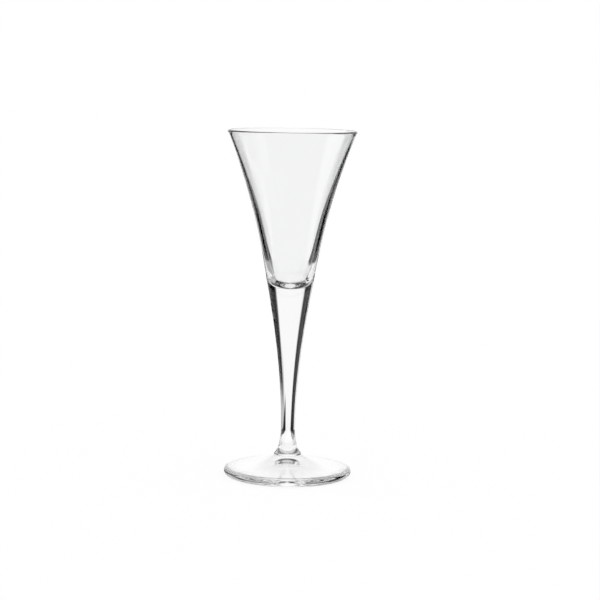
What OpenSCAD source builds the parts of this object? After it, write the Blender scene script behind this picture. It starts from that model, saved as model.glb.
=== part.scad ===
// Cordial glass: a trumpet bowl, a solid drawn stem and a round foot, welded hot at two seats.
// Millimetres, +Z up, with the origin on the table under the middle of the foot.

/* [Overall] */
// Height from the table to the top of the lip
glass_h = 153; // [140:1:175]
// Outer diameter of the bowl at the lip
rim_d = 56.8; // [50:0.2:66]
// Outer diameter of the foot
foot_d = 56.5; // [50:0.5:66]

/* [Bowl] */
// Height above the table of the ring where the bowl's outside meets the stem
joint_h = 88; // [80:1:96]
// Outer diameter of that ring
joint_d = 21.2; // [20:0.2:25]
// Lean of the outside from upright, just under the lip, in degrees
rim_lean = 22.5; // [18:0.5:26]
// Lean of the outside from upright, just above the joint ring, in degrees
base_lean = 9; // [4:0.5:12]
// Wall at the lip
lip_wall = 1.2; // [0.9:0.1:1.8]
// Glass under the middle of the cavity
floor_wall = 1.5; // [1.2:0.1:3]
// Radius of the rounded bottom of the cavity
cavity_tip_r = 8.3; // [7:0.1:9]
// Lean of the cavity's wall where it leaves the rounded bottom, in degrees
cavity_lean = 17; // [12:0.5:20]
// Lean of the cavity's wall just under the lip, in degrees
mouth_lean = 21.5; // [19:0.5:25]

/* [Stem] */
// Depth of the cup in the stem's head that the bowl's bottom beds in
cup_depth = 6; // [4:0.5:8]
// Lean of the stem's side just under the joint ring, in degrees
head_lean = 11; // [8:0.5:15]
// Diameter of the stem at its waist
waist_d = 6.2; // [5.4:0.1:7.6]
// Height of the waist above the table
waist_h = 21; // [18:0.5:28]
// Diameter of the weld between the stem and the foot
weld_d = 8.6; // [8:0.1:9.2]
// Height of that weld above the table
weld_h = 12.2; // [11.6:0.1:13]
// Lean of the side at the weld, in degrees
weld_lean = 11; // [0:1:14]

/* [Foot] */
// Diameter of the boss at its base, before the corner is filled
boss_d = 12; // [11.8:0.1:12.4]
// Height of that corner above the table
boss_h = 9.4; // [9:0.1:9.6]
// Radius that fills the corner between the plate and the boss
boss_fillet = 0.4; // [0.1:0.1:0.7]
// Diameter of the boss at its shoulder, before the corner is rounded
shoulder_d = 11.7; // [11:0.1:12]
// Height of the shoulder above the table
shoulder_h = 10; // [9.8:0.1:10.6]
// Radius that rounds the shoulder
shoulder_round = 0.6; // [0.2:0.1:0.8]
// How far the plate's top sags below a straight slope, halfway out
plate_dip = 1.05; // [0.5:0.05:1.2]
// Thickness of the round edge of the foot
edge_t = 3.9; // [3.2:0.1:4.6]
// Width of the flat ring that the glass stands on
ring_w = 1.4; // [1:0.1:3]
// Height of the hollow under the middle of the foot
hollow_h = 4.4; // [2.5:0.1:5.5]
// Slope of the hollow where it leaves the flat ring, in degrees
hollow_slope = 0.5; // [0.5:0.5:8]

/* [Hidden] */

// Smoothness of the revolved surfaces, and the steps along a flank and along an arc
$fn = 128;
flank_steps = 36;
arc_steps = 12;
glass_tint = [0.90, 0.95, 0.95, 0.5];

// How far each pulled curve runs along its ends' own directions: the cavity's wall as shares of its rise,
// the hollow as shares of its radius, and the plate as the share of the way to its one handle
cavity_pull_share = 0.27;
mouth_pull_share = 0.65;
apex_pull_share = 0.24;
ring_pull_share = 0.4;
plate_pull_share = 2 / 3;

// Radii of the named diameters
rim_r = rim_d / 2;
joint_r = joint_d / 2;
waist_r = waist_d / 2;
weld_r = weld_d / 2;
boss_r = boss_d / 2;
shoulder_r = shoulder_d / 2;
foot_r = foot_d / 2;
lip_r = lip_wall / 2;
edge_r = edge_t / 2;

// Heights along the axis, centres of the rounded parts, and radii of the standing ring
cup_floor_h = joint_h - cup_depth;
cavity_floor_h = cup_floor_h + floor_wall;
lip_centre = [rim_r - lip_r, glass_h - lip_r];
tip_centre = [0, cavity_floor_h + cavity_tip_r];
edge_centre = [foot_r - edge_r, edge_r];
ring_outer_r = foot_r - edge_r;
ring_inner_r = ring_outer_r - ring_w;

// Handle of the plate's top, which moves the middle of the curve by half as much as itself, and where on the
// round edge the plate starts
plate_handle = ([ring_outer_r, edge_t] + [boss_r, boss_h]) / 2 - [0, 2 * plate_dip];
edge_angle = touch_angle(edge_centre, edge_r, plate_handle);

// Radius of a spherical cap, from the radius of its base ring and its height
function cap_radius(ring_r, cap_h) = (ring_r * ring_r + cap_h * cap_h) / (2 * cap_h);

// A point at an angle on a circle, with the angle measured from +X towards +Z
function on_circle(centre, r, angle) = centre + r * [cos(angle), sin(angle)];

// Points of an arc from one angle to another
function arc(centre, r, from, to) =
    [for (i = [0:arc_steps]) on_circle(centre, r, from + (to - from) * i / arc_steps)];

// Cubic through two radii with a set slope at each, at the share t of the way from low to high
function cubic(t, low, high, low_slope, high_slope) =
    (2 * pow(t, 3) - 3 * pow(t, 2) + 1) * low
    + (pow(t, 3) - 2 * pow(t, 2) + t) * low_slope
    + (3 * pow(t, 2) - 2 * pow(t, 3)) * high
    + (pow(t, 3) - pow(t, 2)) * high_slope;

// Points of a corner rounded by a radius, between the straight runs into it and away from it
function rounded(before, corner, after, r) =
    let (
        into = (corner - before) / norm(corner - before),
        away = (after - corner) / norm(after - corner),
        turn = atan2(cross(into, away), into * away),
        start = corner - r * tan(abs(turn) / 2) * into,
        centre = start + r * sign(turn) * [-into.y, into.x],
        from = atan2(start.y - centre.y, start.x - centre.x)
    )
    arc(centre, r, from, from + turn);

// Angle on a circle where a line from a point farther in touches its upper side
function touch_angle(centre, r, point) =
    let (away = point - centre)
    atan2(away.y, away.x) - acos(r / norm(away));

// Points of a flank that rises from low to high and leans by a set angle at each end
function flank(low, high, low_lean, high_lean) =
    let (rise = high.y - low.y)
    [for (i = [0:flank_steps])
        let (t = i / flank_steps)
        [cubic(t, low.x, high.x, rise * tan(low_lean), rise * tan(high_lean)), low.y + rise * t]];

// Points of a curve pulled by two handles, from the first end to the last
function pulled_curve(first, first_handle, last_handle, last) =
    [for (i = [0:flank_steps])
        let (t = i / flank_steps, s = 1 - t)
        pow(s, 3) * first + 3 * s * s * t * first_handle + 3 * s * t * t * last_handle + pow(t, 3) * last];

// The same points in the other order
function reversed(points) = [for (i = [len(points) - 1:-1:0]) points[i]];

// The bed where the bowl's bottom meets the stem's cup: a spherical cap, from the axis out to the ring
function bed() =
    let (r = cap_radius(joint_r, cup_depth))
    arc([0, cup_floor_h + r], r, -90, -acos(joint_r / r));

// Outside of the bowl, from the joint ring up to the lip
function bowl_outside() =
    flank([joint_r, joint_h], on_circle(lip_centre, lip_r, -rim_lean), base_lean, rim_lean);

// Inside of the bowl, from the middle of the cavity's floor up to the lip
function bowl_inside() =
    let (
        low = on_circle(tip_centre, cavity_tip_r, -cavity_lean),
        high = on_circle(lip_centre, lip_r, 180 - mouth_lean),
        rise = high.y - low.y
    )
    concat(
        arc(tip_centre, cavity_tip_r, -90, -cavity_lean),
        pulled_curve(low,
            low + cavity_pull_share * rise * [tan(cavity_lean), 1],
            high - mouth_pull_share * rise * [tan(mouth_lean), 1],
            high));

// Fire-polished lip, round from the outside to the inside
function lip() = arc(lip_centre, lip_r, -rim_lean, 180 - mouth_lean);

// Side of the stem, from the weld through the waist up to the joint ring
function stem_side() = concat(
    flank([weld_r, weld_h], [waist_r, waist_h], -weld_lean, 0),
    flank([waist_r, waist_h], [joint_r, joint_h], 0, head_lean));

// Top of the foot, from the round edge up the plate and over the boss to the weld
function foot_top() =
    let (
        edge = on_circle(edge_centre, edge_r, edge_angle),
        base = [boss_r, boss_h],
        shoulder = [shoulder_r, shoulder_h],
        weld = [weld_r, weld_h],
        fillet = rounded(plate_handle, base, shoulder, boss_fillet)
    )
    concat(
        pulled_curve(edge,
            edge + plate_pull_share * (plate_handle - edge),
            fillet[0] + plate_pull_share * (plate_handle - fillet[0]),
            fillet[0]),
        fillet,
        rounded(base, shoulder, weld, shoulder_round),
        [weld]);

// Round edge of the foot, from the flat ring up to the top
function foot_edge() = arc(edge_centre, edge_r, -90, edge_angle);

// Hollow under the foot: a shallow bell that keeps the plate even, from the middle out to the flat ring
function foot_hollow() = pulled_curve(
    [0, hollow_h],
    [apex_pull_share * ring_inner_r, hollow_h],
    ring_inner_r * [1 - ring_pull_share, ring_pull_share * tan(hollow_slope)],
    [ring_inner_r, 0]);

// Turns an outline of radius and height round the axis
module turned(outline) {
    color(glass_tint)
        rotate_extrude()
            polygon(outline);
}

// Blown trumpet shell with a round lip, thick at the bottom that beds in the stem
module bowl() {
    turned(concat(bed(), bowl_outside(), lip(), reversed(bowl_inside())));
}

// Solid drawn stem, with a cup in its head for the bowl and a flat end for the foot
module stem() {
    turned(concat([[0, weld_h]], stem_side(), reversed(bed())));
}

// Pressed foot with a boss, a sloping plate, a round edge, a flat ring to stand on and a hollow
module foot() {
    turned(concat(foot_hollow(), foot_edge(), foot_top(), [[0, weld_h]]));
}

bowl();
stem();
foot();
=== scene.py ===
"""Cordial glass in clear glass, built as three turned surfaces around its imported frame.

The bowl, the stem and the foot are closed surfaces of revolution in metres, +Z up, with the origin on the
table under the middle of the foot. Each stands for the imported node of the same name. A point of an outline
is a radius and a height, and angles and leans are in degrees. The studio is a bright-field set for glass: a
white tent with black, grey and white boards, which follows the camera, and a pale floor.
"""
import logging
import math
from dataclasses import dataclass
from enum import Enum, IntEnum
from typing import Any, Optional, Sequence, Union

import bpy
import numpy as np
from mathutils import Matrix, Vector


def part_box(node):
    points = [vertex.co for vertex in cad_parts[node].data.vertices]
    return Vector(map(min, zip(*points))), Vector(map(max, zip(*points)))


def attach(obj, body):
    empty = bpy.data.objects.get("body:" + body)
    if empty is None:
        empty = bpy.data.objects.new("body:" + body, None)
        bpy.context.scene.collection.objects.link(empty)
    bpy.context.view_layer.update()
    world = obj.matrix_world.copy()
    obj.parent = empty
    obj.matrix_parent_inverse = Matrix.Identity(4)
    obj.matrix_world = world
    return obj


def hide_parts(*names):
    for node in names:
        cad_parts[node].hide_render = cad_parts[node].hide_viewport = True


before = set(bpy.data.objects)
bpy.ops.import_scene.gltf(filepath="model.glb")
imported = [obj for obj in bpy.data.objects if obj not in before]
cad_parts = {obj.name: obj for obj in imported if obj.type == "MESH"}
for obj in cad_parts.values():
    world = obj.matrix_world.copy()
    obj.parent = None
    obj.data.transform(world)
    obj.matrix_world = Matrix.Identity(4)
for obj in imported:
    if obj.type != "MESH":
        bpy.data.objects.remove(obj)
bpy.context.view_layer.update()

LOG = logging.getLogger("cordial_glass")
MM = 0.001
IMAGE_PX = 600
BODY = "root"

# Full white, and a pattern with the same scale along X, Y and Z
WHITE = (1.0, 1.0, 1.0, 1.0)
EVEN = (1.0, 1.0, 1.0)

# Angles on a section's circle that point straight down and in towards the axis
DOWN = -90.0
INWARD = 180.0

# Turn about X that takes a camera from looking straight down to looking level
LEVEL = 90.0

Profile = np.ndarray
Value = Union["Sock", float]


class Face(IntEnum):
    """Material slot of a face on a glass piece."""

    POLISHED = 0
    WELDED = 1


class Working(Enum):
    """How a piece of glass was worked hot, as the stretch of its ripples along X, Y and Z."""

    BLOWN = (1.0, 1.0, 0.45)
    DRAWN = (1.0, 1.0, 0.08)
    SPUN = (1.0, 1.0, 1.0)


def tangent(degrees: float) -> float:
    """Return the tangent of an angle."""
    return math.tan(math.radians(degrees))


def turned(degrees: float, axis: str) -> Matrix:
    """Return the turn about an axis as a matrix of four rows."""
    return Matrix.Rotation(math.radians(degrees), 4, axis)


def on_circle(centre: Sequence[float], radius: float, degrees: float) -> np.ndarray:
    """Return the point at an angle on a circle, measured from +R towards +Z."""
    angle = math.radians(degrees)
    return np.array(centre) + radius * np.array([math.cos(angle), math.sin(angle)])


def arc(centre: Sequence[float], radius: float, start: float, end: float, steps: int) -> Profile:
    """Points of a circular arc: centre plus radius times (cosine, sine) of evenly spaced angles.

    Args:
        centre: Centre of the circle, as radius and height.
        radius: Radius of the circle.
        start: First angle.
        end: Last angle.
        steps: Number of spans.

    Returns:
        Array of steps + 1 points.
    """
    angle = np.radians(np.linspace(start, end, steps + 1))
    return np.array(centre) + radius * np.stack([np.cos(angle), np.sin(angle)], axis=1)


def flank(low: np.ndarray, high: np.ndarray, low_lean: float, high_lean: float, steps: int) -> Profile:
    """Points of a rising flank: a Hermite cubic of radius over height with a set lean at each end.

    Args:
        low: Lower end, as radius and height.
        high: Upper end, as radius and height.
        low_lean: Lean from upright at the lower end.
        high_lean: Lean from upright at the upper end.
        steps: Number of spans.

    Returns:
        Array of steps + 1 points.
    """
    t = np.linspace(0.0, 1.0, steps + 1)
    rise = high[1] - low[1]
    low_slope = rise * tangent(low_lean)
    high_slope = rise * tangent(high_lean)
    radius = (
        (2 * t**3 - 3 * t**2 + 1) * low[0]
        + (t**3 - 2 * t**2 + t) * low_slope
        + (3 * t**2 - 2 * t**3) * high[0]
        + (t**3 - t**2) * high_slope
    )
    return np.stack([radius, low[1] + rise * t], axis=1)


def pulled_curve(first: np.ndarray, first_handle: np.ndarray, last_handle: np.ndarray, last: np.ndarray,
                 steps: int) -> Profile:
    """Points of a Bezier cubic: its two ends and two handles weighed by the Bernstein polynomials.

    Args:
        first: First end.
        first_handle: Handle of the first end.
        last_handle: Handle of the last end.
        last: Last end.
        steps: Number of spans.

    Returns:
        Array of steps + 1 points.
    """
    t = np.linspace(0.0, 1.0, steps + 1)[:, None]
    s = 1.0 - t
    return s**3 * first + 3 * s**2 * t * first_handle + 3 * s * t**2 * last_handle + t**3 * last


def rounded(before: np.ndarray, corner: np.ndarray, after: np.ndarray, radius: float,
            steps: int) -> Profile:
    """Points of a rounded corner: the arc that touches the straight runs into the corner and away from it.

    Args:
        before: A point on the run into the corner.
        corner: The corner itself.
        after: A point on the run away from it.
        radius: Radius of the arc.
        steps: Number of spans.

    Returns:
        Array of steps + 1 points.
    """
    into = (corner - before) / np.linalg.norm(corner - before)
    away = (after - corner) / np.linalg.norm(after - corner)
    turn = math.atan2(into[0] * away[1] - into[1] * away[0], float(into @ away))
    start = corner - radius * math.tan(abs(turn) / 2) * into
    centre = start + math.copysign(radius, turn) * np.array([-into[1], into[0]])
    angle = math.degrees(math.atan2(*(start - centre)[::-1]))
    return arc(centre, radius, angle, angle + math.degrees(turn), steps)


def touch_angle(centre: np.ndarray, radius: float, point: np.ndarray) -> float:
    """Return the angle on a circle where a line from a point farther in touches its upper side."""
    away = point - centre
    return math.degrees(math.atan2(away[1], away[0]) - math.acos(radius / np.linalg.norm(away)))


def joined(*runs: Profile) -> Profile:
    """Return runs of points end to end, where each run starts on the last point of the one before it."""
    return np.vstack([runs[0]] + [run[1:] for run in runs[1:]])


def new_mesh(name: str, points: np.ndarray, faces: list[list[int]]) -> bpy.types.Mesh:
    """Add a mesh.

    Args:
        name: Name of the mesh.
        points: X, Y and Z of its points.
        faces: Point numbers of each face.

    Returns:
        The mesh.
    """
    made = bpy.data.meshes.new(name)
    made.from_pydata(points, [], faces)
    return made


def new_object(name: str, data: bpy.types.ID) -> bpy.types.Object:
    """Add an object to the scene.

    Args:
        name: Name of the object.
        data: Its mesh or its camera settings.

    Returns:
        The object, at the origin.
    """
    made = bpy.data.objects.new(name, data)
    bpy.context.scene.collection.objects.link(made)
    return made


def new_material(name: str) -> tuple[bpy.types.Material, "Graph"]:
    """Add a material with no nodes yet.

    Args:
        name: Name of the material.

    Returns:
        The material and its node graph.
    """
    made = bpy.data.materials.new(name)
    made.use_nodes = True
    return made, Graph(made.node_tree)


@dataclass(frozen=True)
class Seats:
    """Sizes that the pieces share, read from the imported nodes' boxes, and the radius of the lower weld."""

    rim_r: float
    top_h: float
    joint_r: float
    joint_h: float
    bed_h: float
    weld_h: float
    foot_r: float
    weld_r: float = 4.3 * MM
    bed_steps: int = 12

    @classmethod
    def from_frame(cls) -> "Seats":
        """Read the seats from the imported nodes' boxes at rest.

        Returns:
            The seats.
        """
        bowl_low, bowl_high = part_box("bowl")
        stem_low, stem_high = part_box("stem")
        foot_low, foot_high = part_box("foot")
        return cls(
            rim_r=(bowl_high[0] - bowl_low[0]) / 2,
            top_h=bowl_high[2],
            joint_r=(stem_high[0] - stem_low[0]) / 2,
            joint_h=stem_high[2],
            bed_h=bowl_low[2],
            weld_h=stem_low[2],
            foot_r=(foot_high[0] - foot_low[0]) / 2,
        )

    def joint(self) -> np.ndarray:
        """Return the ring where the bowl's outside meets the stem's."""
        return np.array([self.joint_r, self.joint_h])

    def weld(self) -> np.ndarray:
        """Return the outer ring of the weld between stem and foot."""
        return np.array([self.weld_r, self.weld_h])

    def weld_middle(self) -> np.ndarray:
        """Return the middle of that weld, on the axis."""
        return np.array([0.0, self.weld_h])

    def bed(self) -> Profile:
        """Points of the bed between bowl and stem: a spherical cap from the axis out to the joint ring.

        Returns:
            Array of bed_steps + 1 points.
        """
        depth = self.joint_h - self.bed_h
        radius = (self.joint_r**2 + depth**2) / (2 * depth)
        edge = -math.degrees(math.acos(self.joint_r / radius))
        return arc((0.0, self.bed_h + radius), radius, DOWN, edge, self.bed_steps)


class Sock:
    """A shader value: an output socket with the operators that build Math nodes."""

    def __init__(self, graph: "Graph", socket: bpy.types.NodeSocket) -> None:
        """Keep the graph and the socket."""
        self.graph = graph
        self.socket = socket

    def _math(self, operation: str, first: Value, second: Optional[Value] = None,
              clamp: bool = False) -> "Sock":
        """Add one Math node.

        Args:
            operation: Name of the Math node's operation.
            first: First operand.
            second: Second operand, where there is one.
            clamp: True to hold the result between 0 and 1.

        Returns:
            The node's result.
        """
        operands = {0: first} if second is None else {0: first, 1: second}
        return self.graph.add("ShaderNodeMath", {"operation": operation, "use_clamp": clamp}, operands)

    def __add__(self, other: Value) -> "Sock":
        """Return the sum."""
        return self._math("ADD", self, other)

    __radd__ = __add__

    def __sub__(self, other: Value) -> "Sock":
        """Return the difference."""
        return self._math("SUBTRACT", self, other)

    def __rsub__(self, other: Value) -> "Sock":
        """Return the difference from another value."""
        return self._math("SUBTRACT", other, self)

    def __mul__(self, other: Value) -> "Sock":
        """Return the product."""
        return self._math("MULTIPLY", self, other)

    __rmul__ = __mul__

    def __truediv__(self, other: Value) -> "Sock":
        """Return the quotient."""
        return self._math("DIVIDE", self, other)

    def __neg__(self) -> "Sock":
        """Return the value with its sign turned."""
        return self._math("MULTIPLY", self, -1.0)

    def __abs__(self) -> "Sock":
        """Return the value without its sign."""
        return self._math("ABSOLUTE", self)

    def __pow__(self, power: float) -> "Sock":
        """Return the value raised to a power."""
        return self._math("POWER", self, power)

    def clamped(self) -> "Sock":
        """Return the value held between 0 and 1."""
        return self._math("ADD", self, 0.0, clamp=True)

    def larger(self, other: Value) -> "Sock":
        """Return the larger of two values."""
        return self._math("MAXIMUM", self, other)

    def degrees_over(self, other: Value) -> "Sock":
        """Return the angle in degrees whose tangent is this value over another."""
        return self._math("DEGREES", self._math("ARCTAN2", self, other))

    def eased(self) -> "Sock":
        """Return the value eased between 0 and 1: three squares less two cubes."""
        held = self.clamped()
        return held * held * (3.0 - 2.0 * held)


class Graph:
    """Node graph of one material or world."""

    def __init__(self, tree: bpy.types.NodeTree) -> None:
        """Empty the tree and keep it."""
        self.tree = tree
        tree.nodes.clear()

    def node(self, kind: str, settings: Optional[dict[str, Any]] = None,
             sockets: Optional[dict[Union[str, int], Any]] = None) -> bpy.types.Node:
        """Add a node.

        Args:
            kind: Type of the node.
            settings: Properties set first, by name.
            sockets: Values or links of its inputs, by name or number.

        Returns:
            The new node.
        """
        made = self.tree.nodes.new(kind)
        for name, value in (settings or {}).items():
            setattr(made, name, value)
        for key, value in (sockets or {}).items():
            if isinstance(value, Sock):
                self.tree.links.new(value.socket, made.inputs[key])
            else:
                made.inputs[key].default_value = value
        return made

    def add(self, kind: str, settings: Optional[dict[str, Any]] = None,
            sockets: Optional[dict[Union[str, int], Any]] = None, output: Union[str, int] = 0) -> Sock:
        """Add a node and return one of its outputs, by name or number."""
        return Sock(self, self.node(kind, settings, sockets).outputs[output])

    def coordinates(self) -> Sock:
        """Return the object's own coordinates."""
        return self.add("ShaderNodeTexCoord", output="Object")

    def place(self) -> tuple[Sock, Sock, Sock]:
        """Return X, Y and Z of the object's own coordinates."""
        split = self.node("ShaderNodeSeparateXYZ", sockets={0: self.coordinates()})
        return Sock(self, split.outputs[0]), Sock(self, split.outputs[1]), Sock(self, split.outputs[2])

    def noise(self, stretch: Sequence[float], waves_per_m: float, detail: float) -> Sock:
        """Add soft noise between 0 and 1 on the object's coordinates.

        Args:
            stretch: How fast the noise changes along X, Y and Z, as shares.
            waves_per_m: Waves in a metre.
            detail: Octaves of finer noise.

        Returns:
            The noise's value.
        """
        spread = self.add("ShaderNodeVectorMath", {"operation": "MULTIPLY"},
                          {0: self.coordinates(), 1: tuple(stretch)})
        return self.add("ShaderNodeTexNoise", sockets={
            "Vector": spread,
            "Scale": waves_per_m,
            "Detail": detail,
        })

    def finish(self, shader: Sock, output: str = "ShaderNodeOutputMaterial") -> None:
        """Link a shader to the tree's output."""
        self.node(output, sockets={"Surface": shader})


@dataclass(frozen=True)
class ClearGlass:
    """Clear soda-lime glass with the faint ripples of its working and a scuffed standing ring."""

    name: str
    working: Working
    ripple_height: float
    ripples_per_m: float
    ripple_detail: float = 2.0
    ior: float = 1.5
    smooth_roughness: float = 0.0
    haze_roughness: float = 0.012
    haze_per_m: float = 45.0
    haze_detail: float = 4.0
    haze_start: float = 0.55
    haze_gain: float = 5.0
    scuff_roughness: float = 0.22
    scuff_h: float = 0.15 * MM
    grit_per_m: float = 2500.0
    grit_detail: float = 3.0
    tint: tuple[float, float, float] = (0.992, 0.996, 0.995)
    tint_drift: float = 0.006

    def material(self) -> bpy.types.Material:
        """Build the polished glass: ripples feed its bump, haze and scuffs its roughness, drift its colour.

        Returns:
            The material.
        """
        made, graph = new_material(self.name)
        ripples = graph.noise(self.working.value, self.ripples_per_m, self.ripple_detail)
        bump = graph.add("ShaderNodeBump", sockets={
            "Strength": 1.0,
            "Distance": self.ripple_height,
            "Height": ripples,
        })
        haze = graph.noise(EVEN, self.haze_per_m, self.haze_detail)
        grit = graph.noise(EVEN, self.grit_per_m, self.grit_detail)
        standing = (1.0 - graph.place()[2] / self.scuff_h).clamped()
        clouded = ((haze - self.haze_start) * self.haze_gain).clamped()
        roughness = (self.smooth_roughness + self.haze_roughness * clouded
                     + self.scuff_roughness * standing * grit)
        pale = tuple(min(1.0, part + self.tint_drift) for part in self.tint)
        colour = graph.add("ShaderNodeMix", {"data_type": "RGBA"},
                           {"Factor": haze, "A": (*self.tint, 1.0), "B": (*pale, 1.0)}, output="Result")
        shader = graph.add("ShaderNodeBsdfPrincipled", sockets={
            "Base Color": colour,
            "Roughness": roughness,
            "Normal": bump,
            "IOR": self.ior,
            "Transmission Weight": 1.0,
        })
        graph.finish(shader)
        return made


@dataclass(frozen=True)
class WeldedSeam:
    """Inner face of a hot weld, where glass runs on into glass and light passes straight."""

    name: str = "welded_seam"

    def material(self) -> bpy.types.Material:
        """Build a face that lets all light through unbent, as one glass runs on into the other.

        Returns:
            The material.
        """
        made, graph = new_material(self.name)
        graph.finish(graph.add("ShaderNodeBsdfPrincipled", sockets={
            "Base Color": WHITE,
            "Roughness": 0.0,
            "Transmission Weight": 1.0,
            "Alpha": 0.0,
        }))
        return made


@dataclass
class TurnedPiece:
    """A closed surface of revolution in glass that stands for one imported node."""

    seats: Seats
    finish: ClearGlass
    seam: bpy.types.Material
    node: str = ""
    segments: int = 256

    def name(self) -> str:
        """Return the name of the piece and of its mesh."""
        return self.node + "_glass"

    def runs(self) -> list[tuple[Profile, Face]]:
        """Return the runs of the outline from axis to axis, each with its kind of face."""
        raise NotImplementedError

    def build(self) -> bpy.types.Object:
        """Turn the outline into a mesh and dress it.

        Returns:
            The finished object, riding on the body.
        """
        runs = self.runs()
        outline = joined(*[points for points, _ in runs])
        spans = np.array([len(points) - 1 for points, _ in runs])
        kinds = np.repeat([int(kind) for _, kind in runs], spans)
        corners = np.cumsum(spans)[:-1]
        mesh = self._mesh(outline, kinds, corners)
        piece = new_object(self.name(), mesh)
        mesh.materials.append(self.finish.material())
        mesh.materials.append(self.seam)
        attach(piece, BODY)
        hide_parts(self.node)
        return piece

    def _mesh(self, outline: Profile, kinds: np.ndarray, corners: np.ndarray) -> bpy.types.Mesh:
        """Put the turned outline into a mesh.

        A ring is a point of the outline carried round the axis: (r cos a, r sin a, z). The two ends on the
        axis are single points.

        Args:
            outline: Points from axis to axis.
            kinds: Material slot of each span.
            corners: Numbers of the points that stay sharp.

        Returns:
            The mesh, smooth apart from its sharp rings.
        """
        turn = np.linspace(0.0, 2 * np.pi, self.segments, endpoint=False)
        around = np.stack([np.cos(turn), np.sin(turn)], axis=1)
        rings = outline[1:-1]
        flat = (rings[:, None, :1] * around[None]).reshape(-1, 2)
        rise = np.repeat(rings[:, 1], self.segments)[:, None]
        ends = np.array([[0.0, 0.0, outline[0, 1]], [0.0, 0.0, outline[-1, 1]]])
        points = np.vstack([ends[:1], np.hstack([flat, rise]), ends[1:]])
        mesh = new_mesh(self.name(), points, self._faces(len(rings)))
        slots = np.concatenate([
            np.repeat(kinds[1:-1], self.segments),
            np.full(self.segments, kinds[0]),
            np.full(self.segments, kinds[-1]),
        ])
        mesh.polygons.foreach_set("material_index", slots.astype(np.int32))
        mesh.polygons.foreach_set("use_smooth", np.ones(len(slots), dtype=bool))
        mesh.edges.foreach_set("use_edge_sharp", self._sharp(mesh, corners))
        mesh.update()
        return mesh

    def _faces(self, rings: int) -> list[list[int]]:
        """Number the corners of the faces: quads from ring to ring, then a fan of triangles at each end.

        Args:
            rings: Number of rings.

        Returns:
            Point numbers of each face, in order round it as seen from outside.
        """
        here = np.arange(self.segments)
        after = np.roll(here, -1)
        base = 1 + np.arange(rings)[:, None] * self.segments
        low = base[:-1]
        high = base[1:]
        quads = np.stack([low + here, low + after, high + after, high + here], axis=-1).reshape(-1, 4)
        first_end = np.zeros_like(here)
        last_end = np.full_like(here, 1 + rings * self.segments)
        first = np.stack([first_end, base[0] + after, base[0] + here], axis=-1)
        last = np.stack([last_end, base[-1] + here, base[-1] + after], axis=-1)
        return quads.tolist() + first.tolist() + last.tolist()

    def _sharp(self, mesh: bpy.types.Mesh, corners: np.ndarray) -> np.ndarray:
        """Find the edges along the rings where two runs of the outline meet.

        Args:
            mesh: The turned mesh.
            corners: Numbers of the points of the outline where two runs meet.

        Returns:
            True for each edge that stays sharp.
        """
        ends = np.empty(len(mesh.edges) * 2, dtype=np.int32)
        mesh.edges.foreach_get("vertices", ends)
        ring = (ends.reshape(-1, 2) - 1) // self.segments + 1
        return (ring[:, 0] == ring[:, 1]) & np.isin(ring[:, 0], corners)


@dataclass
class Bowl(TurnedPiece):
    """Blown trumpet bowl, thin at its round lip and thick at its rounded bottom."""

    node: str = "bowl"
    rim_lean: float = 22.5
    base_lean: float = 9.0
    lip_wall: float = 1.2 * MM
    floor_wall: float = 1.5 * MM
    cavity_tip_r: float = 8.3 * MM
    cavity_lean: float = 17.0
    mouth_lean: float = 21.5
    cavity_pull_share: float = 0.27
    mouth_pull_share: float = 0.65
    side_steps: int = 90
    lip_steps: int = 20
    tip_steps: int = 40
    wall_steps: int = 80

    def lip(self) -> tuple[float, np.ndarray]:
        """Return the radius and the centre of the round lip."""
        lip_r = self.lip_wall / 2
        return lip_r, np.array([self.seats.rim_r - lip_r, self.seats.top_h - lip_r])

    def mouth_angle(self) -> float:
        """Return the angle on the round lip where the cavity's wall leaves it."""
        return INWARD - self.mouth_lean

    def inside(self) -> Profile:
        """Points of the cavity from the middle of its floor to the lip: an arc, then a pulled curve.

        Returns:
            Array of points.
        """
        lip_r, lip_centre = self.lip()
        centre = np.array([0.0, self.seats.bed_h + self.floor_wall + self.cavity_tip_r])
        low = on_circle(centre, self.cavity_tip_r, -self.cavity_lean)
        high = on_circle(lip_centre, lip_r, self.mouth_angle())
        rise = high[1] - low[1]
        up = self.cavity_pull_share * rise * np.array([tangent(self.cavity_lean), 1.0])
        down = self.mouth_pull_share * rise * np.array([tangent(self.mouth_lean), 1.0])
        tip = arc(centre, self.cavity_tip_r, DOWN, -self.cavity_lean, self.tip_steps)
        wall = pulled_curve(low, low + up, high - down, high, self.wall_steps)
        return joined(tip, wall)

    def runs(self) -> list[tuple[Profile, Face]]:
        """Lay out the bed, and then the polished skin up the outside, over the lip and down the inside.

        Returns:
            The runs, each with its kind of face.
        """
        lip_r, lip_centre = self.lip()
        rim = on_circle(lip_centre, lip_r, -self.rim_lean)
        side = flank(self.seats.joint(), rim, self.base_lean, self.rim_lean, self.side_steps)
        lip = arc(lip_centre, lip_r, -self.rim_lean, self.mouth_angle(), self.lip_steps)
        skin = joined(side, lip, self.inside()[::-1])
        return [(self.seats.bed(), Face.WELDED), (skin, Face.POLISHED)]


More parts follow.
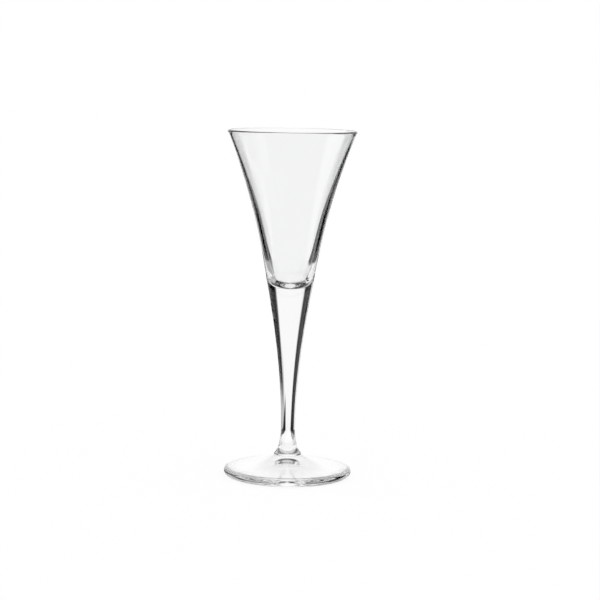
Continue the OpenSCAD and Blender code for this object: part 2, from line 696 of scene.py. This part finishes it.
@dataclass
class Stem(TurnedPiece):
    """Solid drawn stem that swells from a slim waist into the bowl's line."""

    node: str = "stem"
    weld_lean: float = 11.0
    waist_r: float = 3.1 * MM
    waist_h: float = 21.0 * MM
    head_lean: float = 11.0
    neck_steps: int = 30
    side_steps: int = 100

    def runs(self) -> list[tuple[Profile, Face]]:
        """Lay out the weld at the foot, the side through the waist, and the cup that the bowl beds in.

        Returns:
            The runs, each with its kind of face.
        """
        weld = self.seats.weld()
        waist = np.array([self.waist_r, self.waist_h])
        end = np.array([self.seats.weld_middle(), weld])
        neck = flank(weld, waist, -self.weld_lean, 0.0, self.neck_steps)
        side = flank(waist, self.seats.joint(), 0.0, self.head_lean, self.side_steps)
        cup = self.seats.bed()[::-1]
        return [(end, Face.WELDED), (joined(neck, side), Face.POLISHED), (cup, Face.WELDED)]


@dataclass
class Foot(TurnedPiece):
    """Pressed foot with a boss, a sloping plate, a round edge, a flat standing ring and a hollow."""

    node: str = "foot"
    boss_r: float = 6.0 * MM
    boss_h: float = 9.4 * MM
    boss_fillet: float = 0.4 * MM
    shoulder_r: float = 5.85 * MM
    shoulder_h: float = 10.0 * MM
    shoulder_round: float = 0.6 * MM
    plate_dip: float = 1.05 * MM
    plate_pull_share: float = 2 / 3
    edge_t: float = 3.9 * MM
    ring_w: float = 1.4 * MM
    hollow_h: float = 4.4 * MM
    apex_pull_share: float = 0.24
    ring_pull_share: float = 0.4
    hollow_slope: float = 0.5
    edge_steps: int = 24
    plate_steps: int = 60
    corner_steps: int = 10
    hollow_steps: int = 60

    def edge_centre(self) -> np.ndarray:
        """Return the centre of the round edge's section."""
        return np.array([self.seats.foot_r - self.edge_t / 2, self.edge_t / 2])

    def top(self) -> Profile:
        """Points of the edge and the top up to the weld: an arc, a pulled curve, and two rounded corners.

        The plate's curve has one handle, below the middle of the straight slope by twice the dip.

        Returns:
            Array of points.
        """
        edge_r = self.edge_t / 2
        centre = self.edge_centre()
        base = np.array([self.boss_r, self.boss_h])
        shoulder = np.array([self.shoulder_r, self.shoulder_h])
        weld = self.seats.weld()
        middle = (np.array([centre[0], self.edge_t]) + base) / 2
        handle = middle - np.array([0.0, 2 * self.plate_dip])
        touch = touch_angle(centre, edge_r, handle)
        outer = on_circle(centre, edge_r, touch)
        fillet = rounded(handle, base, shoulder, self.boss_fillet, self.corner_steps)
        inner = fillet[0]
        plate = pulled_curve(outer, outer + self.plate_pull_share * (handle - outer),
                             inner + self.plate_pull_share * (handle - inner), inner, self.plate_steps)
        crown = rounded(base, shoulder, weld, self.shoulder_round, self.corner_steps)
        edge = arc(centre, edge_r, DOWN, touch, self.edge_steps)
        boss_side = np.array([fillet[-1], crown[0]])
        boss_top = np.array([crown[-1], weld])
        return joined(edge, plate, fillet, boss_side, crown, boss_top)

    def hollow(self) -> Profile:
        """Points of the hollow from the axis out to the standing ring: one pulled bell curve.

        Returns:
            Array of hollow_steps + 1 points.
        """
        ring = np.array([self.edge_centre()[0] - self.ring_w, 0.0])
        apex = np.array([0.0, self.hollow_h])
        level = self.apex_pull_share * ring[0] * np.array([1.0, 0.0])
        rising = self.ring_pull_share * ring[0] * np.array([-1.0, tangent(self.hollow_slope)])
        return pulled_curve(apex, apex + level, ring + rising, ring, self.hollow_steps)

    def runs(self) -> list[tuple[Profile, Face]]:
        """Lay out the hollow, the flat ring, the edge with the top, and the weld at the stem.

        Returns:
            The runs, each with its kind of face.
        """
        hollow = self.hollow()
        top = self.top()
        ring = np.array([hollow[-1], top[0]])
        end = np.array([top[-1], self.seats.weld_middle()])
        return [(hollow, Face.POLISHED), (ring, Face.POLISHED), (top, Face.POLISHED), (end, Face.WELDED)]


@dataclass(frozen=True)
class Card:
    """A soft-edged board of the set, in degrees as seen from the glass.

    It hangs at an angle to the right of straight behind and an angle above the line of sight. Its size is a
    width and a height, roll turns it in its own plane, and a mirrored board hangs on both sides.
    """

    name: str
    level: float
    at: tuple[float, float]
    size: tuple[float, float]
    soft: float
    roll: float = 0.0
    mirrored: bool = False

    def mask(self, az: Sock, el: Sock) -> Sock:
        """Work out 1 on the board and 0 off it, with eased edges.

        Args:
            az: Degrees to the right of straight behind.
            el: Degrees above the line of sight.

        Returns:
            The product of the eased distances inside the board's two pairs of edges, along its own axes.
        """
        across = (abs(az) if self.mirrored else az) - self.at[0]
        up = el - self.at[1]
        cosine = math.cos(math.radians(self.roll))
        sine = math.sin(math.radians(self.roll))
        return (self._inside(across * cosine + up * sine, self.size[0])
                * self._inside(up * cosine - across * sine, self.size[1]))

    def _inside(self, offset: Sock, size: float) -> Sock:
        """Return how far an offset lies inside a size centred on zero, eased over the soft edge."""
        return ((size / 2 - abs(offset)) / self.soft + 0.5).eased()


@dataclass
class Studio:
    """Camera, bright-field set, pale floor and white background."""

    camera_distance: float = 0.870
    camera_height: float = 0.186
    pitch: float = -7.05
    yaw: float = 0.292
    roll: float = 0.95
    focal_px: float = 1987.5
    sensor: float = 36.0
    set_radius: float = 6.0
    set_ahead: float = 0.88
    set_columns: int = 64
    set_rows: int = 32
    floor_r: float = 0.6
    floor_segments: int = 96
    floor_drop: float = 0.05 * MM
    floor_glow: float = 0.9
    lit_floor_r: float = 30 * MM
    lit_floor_fade: float = 4 * MM
    bounces: int = 24

    def build(self) -> None:
        """Build the camera, the set, the floor and the world."""
        scene = bpy.context.scene
        scene.view_settings.view_transform = "Standard"
        scene.cycles.max_bounces = self.bounces
        scene.cycles.transmission_bounces = self.bounces
        scene.cycles.glossy_bounces = self.bounces
        camera = self.camera()
        self.bright_field(camera)
        self.floor()
        self.world()

    def camera(self) -> bpy.types.Object:
        """Place the camera in front of the glass and make it the scene's camera.

        Returns:
            The camera.
        """
        data = bpy.data.cameras.new("camera")
        data.sensor_width = self.sensor
        data.lens = self.sensor * self.focal_px / IMAGE_PX
        camera = new_object("camera", data)
        turn = turned(-self.yaw, "Z") @ turned(LEVEL + self.pitch, "X") @ turned(self.roll, "Z")
        camera.matrix_world = Matrix.Translation((0.0, -self.camera_distance, self.camera_height)) @ turn
        bpy.context.scene.camera = camera
        return camera

    def cards(self) -> list[Card]:
        """Return the boards of the set, each laid over the ones before it."""
        return [
            Card("right wall", 0.5, at=(110.0, 0.0), size=(140.0, 400.0), soft=10.0),
            Card("front", 0.7, at=(180.0, 0.0), size=(160.0, 400.0), soft=20.0, mirrored=True),
            Card("low front", 0.05, at=(180.0, -55.0), size=(160.0, 80.0), soft=10.0, mirrored=True),
            Card("right middle card", 0.5, at=(45.0, -4.0), size=(46.0, 16.0), soft=6.0),
            Card("right upper flag", 0.0, at=(55.0, 8.0), size=(52.0, 18.0), soft=6.0),
            Card("right lower flag", 0.0, at=(35.0, -11.0), size=(46.0, 9.0), soft=2.0, roll=-17.0),
            Card("left upper flag", 0.0, at=(-40.0, 5.0), size=(24.0, 51.0), soft=4.0, roll=43.0),
            Card("left lower flag", 0.0, at=(-52.0, -14.0), size=(63.0, 9.0), soft=2.0, roll=8.0),
            Card("table flags", 0.0, at=(105.0, -57.0), size=(150.0, 18.0), soft=2.0, mirrored=True),
            Card("left ceiling flag", 0.1, at=(-30.0, 62.0), size=(70.0, 60.0), soft=16.0, roll=52.0),
            Card("right ceiling flag", 0.2, at=(40.0, 58.0), size=(74.0, 52.0), soft=14.0, roll=27.0),
            Card("left table card", 0.4, at=(-64.0, -44.0), size=(98.0, 42.0), soft=2.0, roll=17.0),
            Card("right table flag", 0.0, at=(74.0, -43.0), size=(102.0, 18.0), soft=2.0, roll=-14.0),
            Card("left table light", 1.0, at=(-30.0, -20.0), size=(32.0, 3.0), soft=2.0, roll=22.0),
            Card("right table light", 0.95, at=(26.0, -18.0), size=(49.0, 7.0), soft=2.0, roll=-28.0),
        ]

    def bright_field(self, camera: bpy.types.Object) -> None:
        """Hang the set round the glass: a sphere, radius times (cos v cos u, sin v, cos v sin u).

        It is seen only by reflected and refracted light.

        Args:
            camera: The camera that the set stays square to.
        """
        u = np.linspace(0.0, 2 * np.pi, self.set_columns + 1)
        v = np.linspace(-np.pi / 2, np.pi / 2, self.set_rows + 1)[:, None]
        height = np.sin(v) * np.ones_like(u)
        grid = np.stack([np.cos(v) * np.cos(u), height, np.cos(v) * np.sin(u)], axis=-1)
        points = self.set_radius * grid.reshape(-1, 3)
        low = np.arange(self.set_rows)[:, None] * len(u) + np.arange(self.set_columns)
        high = low + len(u)
        quads = np.stack([low, low + 1, high + 1, high], axis=-1)
        mesh = new_mesh("bright_field", points, quads.reshape(-1, 4).tolist())
        tent = new_object("bright_field", mesh)
        tent.parent = camera
        tent.location = (0.0, 0.0, -self.set_ahead)
        tent.visible_camera = False
        tent.visible_diffuse = False
        tent.visible_shadow = False
        mesh.materials.append(self.bright_field_material())

    def bright_field_material(self) -> bpy.types.Material:
        """Build the set's glow: white, with each board mixed in by its mask.

        Returns:
            The material.
        """
        made, graph = new_material("bright_field")
        made.cycles.emission_sampling = "NONE"
        x, y, z = graph.place()
        az = x.degrees_over(-z)
        el = y.degrees_over((x * x + z * z) ** 0.5)
        level: Value = 1.0
        for card in self.cards():
            LOG.info("board: %s", card.name)
            mask = card.mask(az, el)
            level = mask * card.level + (1.0 - mask) * level
        graph.finish(graph.add("ShaderNodeEmission", sockets={"Color": level, "Strength": 1.0}))
        return made

    def floor(self) -> None:
        """Lay a pale floor just under the foot: a flat disc with its edge at radius times (cos a, sin a)."""
        turn = np.linspace(0.0, 2 * np.pi, self.floor_segments, endpoint=False)
        points = np.stack([self.floor_r * np.cos(turn), self.floor_r * np.sin(turn),
                           np.full(self.floor_segments, -self.floor_drop)], axis=1)
        mesh = new_mesh("floor", points, [list(range(self.floor_segments))])
        floor = new_object("floor", mesh)
        mesh.materials.append(self.floor_material())

    def floor_material(self) -> bpy.types.Material:
        """Build the floor: white to the camera, with a faint shadow, and clear to the glass past its foot.

        Returns:
            The material.
        """
        made, graph = new_material("pale_floor")
        made.cycles.emission_sampling = "NONE"
        x, y, _ = graph.place()
        near = ((self.lit_floor_r - (x * x + y * y) ** 0.5) / self.lit_floor_fade + 0.5).clamped()
        to_camera = graph.add("ShaderNodeLightPath", output="Is Camera Ray")
        shown = near.larger(to_camera)
        glow = graph.add("ShaderNodeEmission", sockets={"Color": WHITE, "Strength": self.floor_glow})
        grey = 1.0 - self.floor_glow
        matt = graph.add("ShaderNodeBsdfDiffuse", sockets={"Color": (grey, grey, grey, 1.0)})
        pale = graph.add("ShaderNodeAddShader", sockets={0: glow, 1: matt})
        clear = graph.add("ShaderNodeBsdfTransparent")
        graph.finish(graph.add("ShaderNodeMixShader", sockets={"Fac": shown, 1: clear, 2: pale}))
        return made

    def world(self) -> None:
        """Make the world white."""
        world = bpy.data.worlds.new("white_world")
        world.use_nodes = True
        bpy.context.scene.world = world
        graph = Graph(world.node_tree)
        white = graph.add("ShaderNodeBackground", sockets={"Color": WHITE, "Strength": 1.0})
        graph.finish(white, "ShaderNodeOutputWorld")


def main() -> None:
    """Build the glass and its studio."""
    logging.basicConfig(level=logging.INFO, format="%(name)s: %(message)s")
    seats = Seats.from_frame()
    seam = WeldedSeam().material()
    blown = ClearGlass("blown_glass", Working.BLOWN, ripple_height=0.004 * MM, ripples_per_m=55.0)
    drawn = ClearGlass("drawn_glass", Working.DRAWN, ripple_height=0.002 * MM, ripples_per_m=120.0)
    spun = ClearGlass("spun_glass", Working.SPUN, ripple_height=0.003 * MM, ripples_per_m=70.0)
    for piece in (Bowl(seats, blown, seam), Stem(seats, drawn, seam), Foot(seats, spun, seam)):
        made = piece.build()
        LOG.info("%s: %d faces", made.name, len(made.data.polygons))
    Studio().build()


if __name__ == "__main__":
    main()
